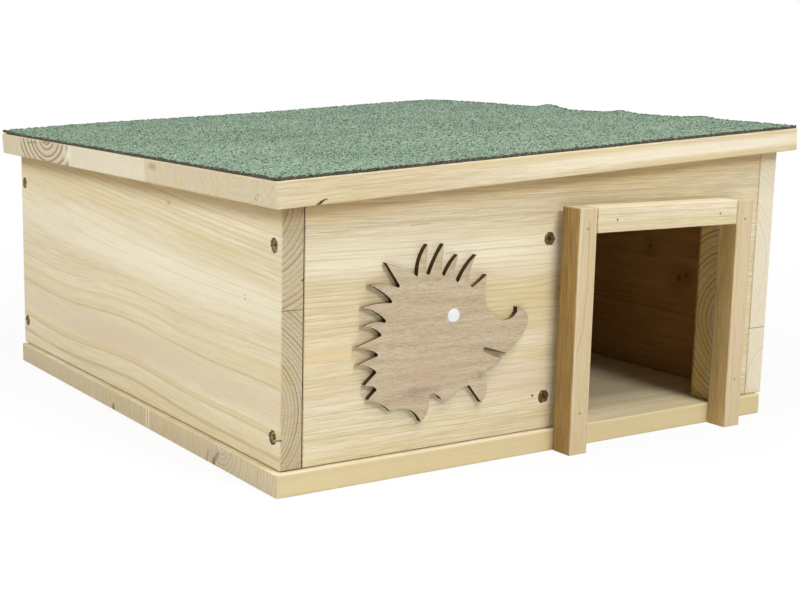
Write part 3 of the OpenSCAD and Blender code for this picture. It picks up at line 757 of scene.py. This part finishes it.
FILLED = shade(196, 174, 134)
brad = Finish("brad_steel")
sunk_nail = sum(brad.spot(place, 0.6, 0.25) for place in brad_places)
put(brad.close(brad.blend(sunk_nail, FILLED, BURR), 0.55), "entrance_brads", "cutout_brads")
put(
    steel,
    "hinge_box_leaf_left", "hinge_box_leaf_right", "hinge_roof_leaf_left",
    "hinge_roof_leaf_right", "hinge_pin_left", "hinge_pin_right",
)


# ------------------------------------------------------------------ pieces

def piece(name, mesh, body, stands_for=()):
    """A mesh that rides with a body, in place of some CAD nodes."""
    made = new_object(name, mesh)
    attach(made, body)
    if stands_for:
        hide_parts(*stands_for)


def grown(name, carrier_mesh, group, values):
    """The mesh that a Geometry Nodes tree makes on a carrier mesh, with its inputs set."""
    carrier = new_object(name, carrier_mesh)
    modifier = carrier.modifiers.new("growth", "NODES")
    modifier.node_group = group
    for item in group.interface.items_tree:
        if item.item_type == "SOCKET" and item.in_out == "INPUT" and item.name in values:
            modifier[item.identifier] = values[item.name]
    bpy.context.view_layer.update()
    done = bpy.data.meshes.new_from_object(
        carrier.evaluated_get(bpy.context.evaluated_depsgraph_get())
    )
    carrier.modifiers.remove(modifier)
    bpy.data.objects.remove(carrier)
    return done


def growth_tree(name, sizes):
    """A Geometry Nodes tree that takes a geometry, named sizes and a finish, and its entry."""
    group = bpy.data.node_groups.new(name, "GeometryNodeTree")
    socket = group.interface.new_socket
    socket("Geometry", in_out="INPUT", socket_type="NodeSocketGeometry")
    for label, start in sizes.items():
        socket(label, in_out="INPUT", socket_type="NodeSocketFloat").default_value = start
    socket("Finish", in_out="INPUT", socket_type="NodeSocketMaterial")
    socket("Geometry", in_out="OUTPUT", socket_type="NodeSocketGeometry")
    tree = Tree(group)
    return group, tree, tree.node("NodeGroupInput")


def give_out(tree, entry, shape):
    """The tree's result is the shape in the finish that its entry names."""
    coat = {"Geometry": shape, "Material": entry.other("Finish")}
    tree.node("NodeGroupOutput", None, {0: tree.node("GeometryNodeSetMaterial", None, coat)})


SCREW_SIZES = {"Head": 0.0076, "Shank": 0.0034, "Length": 0.036}


def screw_tree():
    """Countersunk screws with a cross recess, one at each point, heads facing `out`."""
    group, tree, entry = growth_tree("countersunk_screws", SCREW_SIZES)
    head, shank, length = (entry.other(n) for n in SCREW_SIZES)
    rise = (head - shank) / 2
    lip = head * 0.035

    def cone(sides, top, bottom, depth):
        sizes = {"Vertices": sides, "Radius Top": top, "Radius Bottom": bottom, "Depth": depth}
        return tree.node("GeometryNodeMeshCone", None, sizes)

    def lifted(shape, height):
        shift = tree.vector(0, 0, height)
        return tree.node("GeometryNodeTransform", None, {"Geometry": shape, "Translation": shift})

    sunk = lifted(cone(32, head / 2, shank / 2, rise), -rise - lip)
    rim = lifted(cone(32, head * 0.46, head / 2, lip), -lip)
    rod = tree.node(
        "GeometryNodeMeshCylinder", None,
        {"Vertices": 16, "Radius": shank / 2, "Depth": length - rise - shank},
    )
    rod = lifted(rod, (length - shank + rise) / -2)
    tip = lifted(cone(16, shank / 2, shank / 12, shank), -length)
    slot_size = tree.vector(head * 0.62, head * 0.13, rise * 1.5)
    bar = tree.node("GeometryNodeMeshCube", None, {"Size": slot_size})
    across = tree.node(
        "GeometryNodeTransform", None, {"Geometry": bar, "Rotation": (0, 0, math.pi / 2)}
    )
    well = lifted(cone(8, head * 0.16, head * 0.08, rise * 0.9), rise * -0.85)
    topped = tree.node(
        "GeometryNodeMeshBoolean", {"operation": "UNION", "solver": "EXACT"}, {1: [sunk, rim]}
    )
    crossed = tree.node(
        "GeometryNodeMeshBoolean", {"operation": "DIFFERENCE", "solver": "EXACT"},
        {0: topped, 1: [bar, across, well]},
    )
    whole = tree.node("GeometryNodeJoinGeometry", None, {0: [crossed, rod, tip]})
    out = tree.node(
        "GeometryNodeInputNamedAttribute", {"data_type": "FLOAT_VECTOR"}, {"Name": "out"}
    )
    upright = tree.node("FunctionNodeAlignRotationToVector", {"axis": "Z"}, {"Vector": out})
    spin = tree.node(
        "FunctionNodeRandomValue", {"data_type": "FLOAT"}, {2: 0.0, 3: math.pi / 2, "Seed": 4}, 1
    )
    spun = tree.node(
        "FunctionNodeAxisAngleToRotation", None, {"Axis": (0, 0, 1), "Angle": spin}
    )
    turned = tree.node(
        "FunctionNodeRotateRotation", {"rotation_space": "LOCAL"}, {0: upright, 1: spun}
    )
    placed = tree.node(
        "GeometryNodeInstanceOnPoints", None,
        {"Points": entry, "Instance": whole, "Rotation": turned},
    )
    give_out(tree, entry, tree.node("GeometryNodeRealizeInstances", None, {0: placed}))
    return group


screws = screw_tree()


def screw_set(name, node, body, sizes, material):
    """All screws of one CAD node, as one piece."""
    out = Vector(SCREWS[node]).normalized()
    points = bpy.data.meshes.new(name + "_points")
    points.from_pydata(screw_heads[node], [], [])
    outward = points.attributes.new("out", "FLOAT_VECTOR", "POINT")
    for item in outward.data:
        item.vector = out
    values = dict(zip(SCREW_SIZES, sizes), Finish=material)
    piece(name, grown(name, points, screws, values), body, [node])


WALL_SCREW = (0.0076, 0.0034, 0.036)
BASE_SCREW = (0.0056, 0.0028, 0.028)
HINGE_SCREW = (0.0056, 0.0028, 0.011)
screw_set("left_wall_screws", "left_panel_screws", "box", WALL_SCREW, bronze)
screw_set("right_wall_screws", "right_panel_screws", "box", WALL_SCREW, bronze)
screw_set("divider_wall_screws", "divider_screws", "box", WALL_SCREW, bronze)
screw_set("base_board_screws", "base_screws", "box", BASE_SCREW, bronze)
screw_set("hinge_screws_on_box", "hinge_box_screws", "box", HINGE_SCREW, steel)
screw_set("hinge_screws_on_roof", "hinge_roof_screws", "roof", HINGE_SCREW, steel)


def eye_drop():
    """A drop of thick paint: a low dome with a slightly uneven rim."""
    low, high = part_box("hedgehog_eye")
    middle, radius, rise = (low + high) / 2, (high.x - low.x) / 2, high.y - low.y
    wide, tilt = 1.12, math.radians(20)
    shape = bmesh.new()
    steps, turns = 7, 40
    rings = []
    for i in range(steps):
        t = (i + 1) / steps
        ring = []
        for k in range(turns):
            a = math.tau * k / turns
            uneven = 1 - 0.035 * (1 + math.sin(2 * a + 0.6)) - 0.012 * (1 + math.sin(5 * a))
            r = radius * t * uneven
            up = rise * (1 - t**6) * (0.92 + 0.08 * math.cos(3 * a) * t)
            across, along = r * wide * math.cos(a), r * math.sin(a)
            ring.append(shape.verts.new((
                middle.x + across * math.cos(tilt) - along * math.sin(tilt),
                high.y - up,
                middle.z + across * math.sin(tilt) + along * math.cos(tilt),
            )))
        rings.append(ring)
    top = shape.verts.new((middle.x, low.y, middle.z))
    under = shape.verts.new((middle.x, high.y, middle.z))
    for k in range(turns):
        n = (k + 1) % turns
        shape.faces.new((top, rings[0][k], rings[0][n]))
        shape.faces.new((under, rings[-1][n], rings[-1][k]))
        for inner, outer in zip(rings, rings[1:]):
            shape.faces.new((inner[k], outer[k], outer[n], inner[n]))
    bmesh.ops.recalc_face_normals(shape, faces=shape.faces)
    for face in shape.faces:
        face.smooth = True
    mesh = bpy.data.meshes.new("painted_eye")
    shape.to_mesh(mesh)
    shape.free()
    dress(mesh, eye_finish)
    piece("painted_eye", mesh, "box", ["hedgehog_eye"])


eye_drop()


# ------------------------------------------------------------------ roofing felt

FELT_T = 2.3
FELT_RISE = 1.6
FELT_RIPPLES = ((0.2, 1.4), (0.4, 2.15), (0.6, 3.2))
RIPPLE_HALF = 15
SWAY = 0.42
SWAYS_BACK, SWAYS_ALONG = 1.55, 1.4
LIFT_REACH = 70
FELT_CELL = 1.8
STITCH = 4
CUT_IN = 0.9
CHIP_ROOM = 0.6
# How rough the felt is where its outermost points, and the next ones in, have lost chips.
BARE_OVER = (-0.1, 0.25)
CHIP_SIZES = {"Density": 72000.0, "Chip": 0.0008}

FELT_TONES = [
    (0, shade(40, 52, 41)[:3]), (0.22, shade(76, 97, 77)[:3]), (0.46, shade(125, 148, 126)[:3]),
    (0.72, shade(157, 178, 155)[:3]), (1, shade(204, 217, 200)[:3]),
]
BITUMEN = shade(60, 54, 46)
BITUMEN_PALE = shade(122, 118, 108)


def felt_material(name):
    """Mineral felt. The attribute grit says how high or how pale each place is, 0 to 1."""
    felt = Finish(name, corner=ROOF_CORNER, turn=ROOF_TURN)
    grit = felt.node("ShaderNodeAttribute", {"attribute_name": "grit"}, out="Fac")
    dust = felt.noise(felt.finer(1.5), 1.5, 3, 0.75)
    cloud = felt.noise(felt.finer(0.015), 4.0, 3)
    tone = grit + (dust - 0.5) * 1.9 + (cloud - 0.5) * 0.25
    colour = felt.node("ShaderNodeValToRGB", {"stops": FELT_TONES}, {0: tone})
    torn = felt.blend(dust.above(0.54, 0.1), BITUMEN, BITUMEN_PALE)
    ragged = grit.below(0.02, 0.02).do("MAXIMUM", felt.sides[2].below(0.25, 0.15))
    colour = felt.blend(ragged, colour, torn)
    return felt.close(colour, 0.92, dust, 0.35, Specular_IOR_Level=0.1)


def felt_lift(u, v):
    """How far the felt stands off the board; u runs along it and v back, both 0 to 1."""
    edge = FELT_RISE * math.sqrt(v) * (1 + SWAY * math.sin(math.tau * SWAYS_BACK * v))
    for place, rise in FELT_RIPPLES:
        edge += rise * math.exp(-(((v - place) * ROOF_D / RIPPLE_HALF) ** 2))
    fade = max(0, 1 - (1 - u) * ROOF_L / LIFT_REACH) ** 2
    rear = max(0, 1 - (1 - v) * ROOF_D / LIFT_REACH) ** 2
    wave = FELT_RISE * 0.7 * (1 + SWAY * math.sin(math.tau * SWAYS_ALONG * u))
    return fade * edge + (1 - fade) * rear * wave


def felt_sheet():
    """The felt as a closed sheet: a rough upper face, torn edges and a coarser underside."""
    nx = STITCH * round(ROOF_L / FELT_CELL / STITCH)
    ny = STITCH * round(ROOF_D / FELT_CELL / STITCH)
    verts, faces, grits = [], [], []

    def outline(u, v):
        """Place of a grid point, with the cut edge running a little unevenly."""
        wander = noise.noise(Vector((u * 8, v * 8, 3.0)))
        wander += 0.5 * noise.noise(Vector((u * 60, v * 60, 9)))
        x = -ROOF_SIDE_OVERHANG + CUT_IN + u * (ROOF_L - 2 * CUT_IN)
        y = ROOF_FRONT + CUT_IN + v * (ROOF_D - 2 * CUT_IN)
        return x + wander * (1 - 2 * u) * 0.5, y + wander * (1 - 2 * v) * 0.5

    for j in range(ny + 1):
        for i in range(nx + 1):
            u, v = i / nx, j / ny
            x, y = outline(u, v)
            fine = noise.noise(Vector((x / 1.3, y / 1.3, 0)))
            coarse = noise.noise(Vector((x / 3.1, y / 3.1, 7)))
            rim = min(i, nx - i, j, ny - j)
            z = ROOF_TOP + felt_lift(u, v) + FELT_T - CHIP_ROOM + 0.3 * fine + 0.2 * coarse
            bare = rim < len(BARE_OVER) and fine + coarse > BARE_OVER[rim]
            verts.append((x, y, z + (0.35 if bare else 0)))
            grits.append(0.0 if bare else 0.46 + 0.2 * fine + 0.15 * coarse)
    for j in range(ny):
        for i in range(nx):
            a = j * (nx + 1) + i
            faces.append((a, a + 1, a + nx + 2, a + nx + 1))
    under = {}

    def lower(i, j):
        if (i, j) not in under:
            u, v = i / nx, j / ny
            x, y = outline(u, v)
            under[i, j] = len(verts)
            verts.append((x, y, ROOF_TOP + felt_lift(u, v)))
            grits.append(0.0)
        return under[i, j]

    for j in range(0, ny, STITCH):
        for i in range(0, nx, STITCH):
            south = range(i, i + STITCH, 1 if j == 0 else STITCH)
            east = range(j, j + STITCH, 1 if i + STITCH == nx else STITCH)
            north = range(i + STITCH, i, -1 if j + STITCH == ny else -STITCH)
            west = range(j + STITCH, j, -1 if i == 0 else -STITCH)
            loop = [lower(k, j) for k in south] + [lower(i + STITCH, k) for k in east]
            loop += [lower(k, j + STITCH) for k in north] + [lower(i, k) for k in west]
            faces.append(tuple(reversed(loop)))
    rim = [(i, 0) for i in range(nx)] + [(nx, j) for j in range(ny)]
    rim += [(i, ny) for i in range(nx, 0, -1)] + [(0, j) for j in range(ny, 0, -1)]
    for (i, j), (k, l) in zip(rim, rim[1:] + rim[:1]):
        a, b = j * (nx + 1) + i, l * (nx + 1) + k
        faces.append((a, lower(i, j), lower(k, l), b))
    mesh = bpy.data.meshes.new("felt_sheet")
    mesh.from_pydata([ROOF_FRAME @ (Vector(v) * MM) for v in verts], [], faces)
    mesh.attributes.new("grit", "FLOAT", "POINT").data.foreach_set("value", grits)
    mesh.update()
    return mesh


def chip_tree():
    """Angular mineral chips scattered over the felt's upper face, each with its own tone."""
    group, tree, entry = growth_tree("felt_chips", CHIP_SIZES)
    density, size = (entry.other(n) for n in CHIP_SIZES)
    facing = tree.node("ShaderNodeSeparateXYZ", None, {0: tree.node("GeometryNodeInputNormal")})
    points = tree.node(
        "GeometryNodeDistributePointsOnFaces", {"distribute_method": "RANDOM"},
        {"Mesh": entry, "Density": density, "Seed": 12, "Selection": facing.other("Z").above(0.5)},
    )
    chip = tree.node("GeometryNodeMeshCube", None, {"Size": tree.vector(size, size, size)})
    scale = tree.node(
        "FunctionNodeRandomValue", {"data_type": "FLOAT_VECTOR"},
        {0: (0.7, 0.6, 0.5), 1: (1.5, 1.2, 1.1), "Seed": 5}, 0,
    )
    turn = tree.node(
        "FunctionNodeRandomValue", {"data_type": "FLOAT_VECTOR"},
        {0: (-0.5, -0.5, 0), 1: (0.5, 0.5, math.tau), "Seed": 6}, 0,
    )
    placed = tree.node(
        "GeometryNodeInstanceOnPoints", None,
        {"Points": points, "Instance": chip, "Rotation": turn, "Scale": scale},
    )
    tone = tree.node(
        "FunctionNodeRandomValue", {"data_type": "FLOAT"}, {2: 0.15, 3: 0.95, "Seed": 8}, 1
    )
    toned = tree.node(
        "GeometryNodeStoreNamedAttribute", {"data_type": "FLOAT", "domain": "INSTANCE"},
        {"Geometry": placed, "Name": "grit", "Value": tone},
    )
    give_out(tree, entry, tree.node("GeometryNodeRealizeInstances", None, {0: toned}))
    return group


felt_finish = felt_material("mineral_felt")
felt_mesh = felt_sheet()
chips_mesh = grown(
    "felt_chips", felt_mesh.copy(), chip_tree(), {**CHIP_SIZES, "Finish": felt_finish}
)
dress(felt_mesh, felt_finish)
piece("felt_sheet", felt_mesh, "roof", ["roof_felt"])
piece("felt_chips", chips_mesh, "roof")


# ------------------------------------------------------------------ camera, light and floor

LENS = 62.74
CAMERA_PLACE = Vector((-0.6135, -0.9283, 0.2652))
CAMERA_AIM = Vector((-0.1238, -0.2181, 0.1147))
CAMERA_ROLL = math.radians(1.381)

camera_data = bpy.data.cameras.new("camera")
camera_data.lens = LENS
camera_data.sensor_width = 36
camera = new_object("camera", camera_data)
aim = (CAMERA_AIM - CAMERA_PLACE).to_track_quat("-Z", "Y").to_matrix()
camera.matrix_world = (
    Matrix.Translation(CAMERA_PLACE) @ (aim @ Matrix.Rotation(CAMERA_ROLL, 3, "Z")).to_4x4()
)
bpy.context.scene.camera = camera


LIT_PLACE = Vector((0, 0, 0.1))
for name, place, size, power in (
    ("front_box", (0.22, -1.74, 1.3), 0.5, 17),
    ("left_box", (-1.4, -0.1, 1.5), 0.8, 24),
    ("top_box", (0.15, -0.95, 2.0), 0.6, 17.5),
    ("rear_box", (1.4, 1.6, 0.7), 1.0, 15),
):
    lamp = bpy.data.lights.new(name, "AREA")
    lamp.shape, lamp.size, lamp.energy = "SQUARE", size, power
    softbox = new_object(name, lamp)
    softbox.location = place
    softbox.rotation_euler = (LIT_PLACE - Vector(place)).to_track_quat("-Z", "Y").to_euler()


def white_to(tree):
    """1 for the rays that see the backdrop: from the camera, off metal and through glass."""
    rays = tree.node("ShaderNodeLightPath", out="Is Camera Ray")
    glossy = rays.do("MAXIMUM", rays.other("Is Glossy Ray"))
    return glossy.do("MAXIMUM", rays.other("Is Transmission Ray"))


AMBIENT = 0.18
world = bpy.data.worlds.new("studio")
world.use_nodes = True
bpy.context.scene.world = world
studio = Tree(world.node_tree)
studio.tree.nodes.clear()
level = white_to(studio) * (1 - AMBIENT) + AMBIENT
sky = studio.node("ShaderNodeBackground", None, {"Color": (1, 1, 1, 1), "Strength": level})
studio.node("ShaderNodeOutputWorld", None, {"Surface": sky})

FLOOR_HALF = 12
corners = [(FLOOR_HALF * x, FLOOR_HALF * y, 0) for x, y in ((-1, -1), (1, -1), (1, 1), (-1, 1))]
floor_mesh = bpy.data.meshes.new("floor")
floor_mesh.from_pydata(corners, [], [(0, 1, 2, 3)])
floor = new_object("floor", floor_mesh)
floor_finish = bpy.data.materials.new("white_floor")
floor_finish.use_nodes = True
paper = Tree(floor_finish.node_tree)
paper.tree.nodes.clear()
away = paper.length(paper.node("ShaderNodeTexCoord", out="Object"))
matt = paper.node("ShaderNodeBsdfDiffuse", None, {"Color": (0.8, 0.8, 0.8, 1)})
glow = paper.node("ShaderNodeEmission", None, {"Color": (1, 1, 1, 1), "Strength": 1.0})
# Close to the station a tenth of the floor's own shading shows, and further out none.
share = white_to(paper) * (away.above(0.7, 0.4) * 0.1 + 0.9)
mixed = paper.node("ShaderNodeMixShader", None, {0: share, 1: matt, 2: glow})
paper.node("ShaderNodeOutputMaterial", None, {"Surface": mixed})
dress(floor_mesh, floor_finish)

bpy.context.scene.view_settings.view_transform = "Standard"
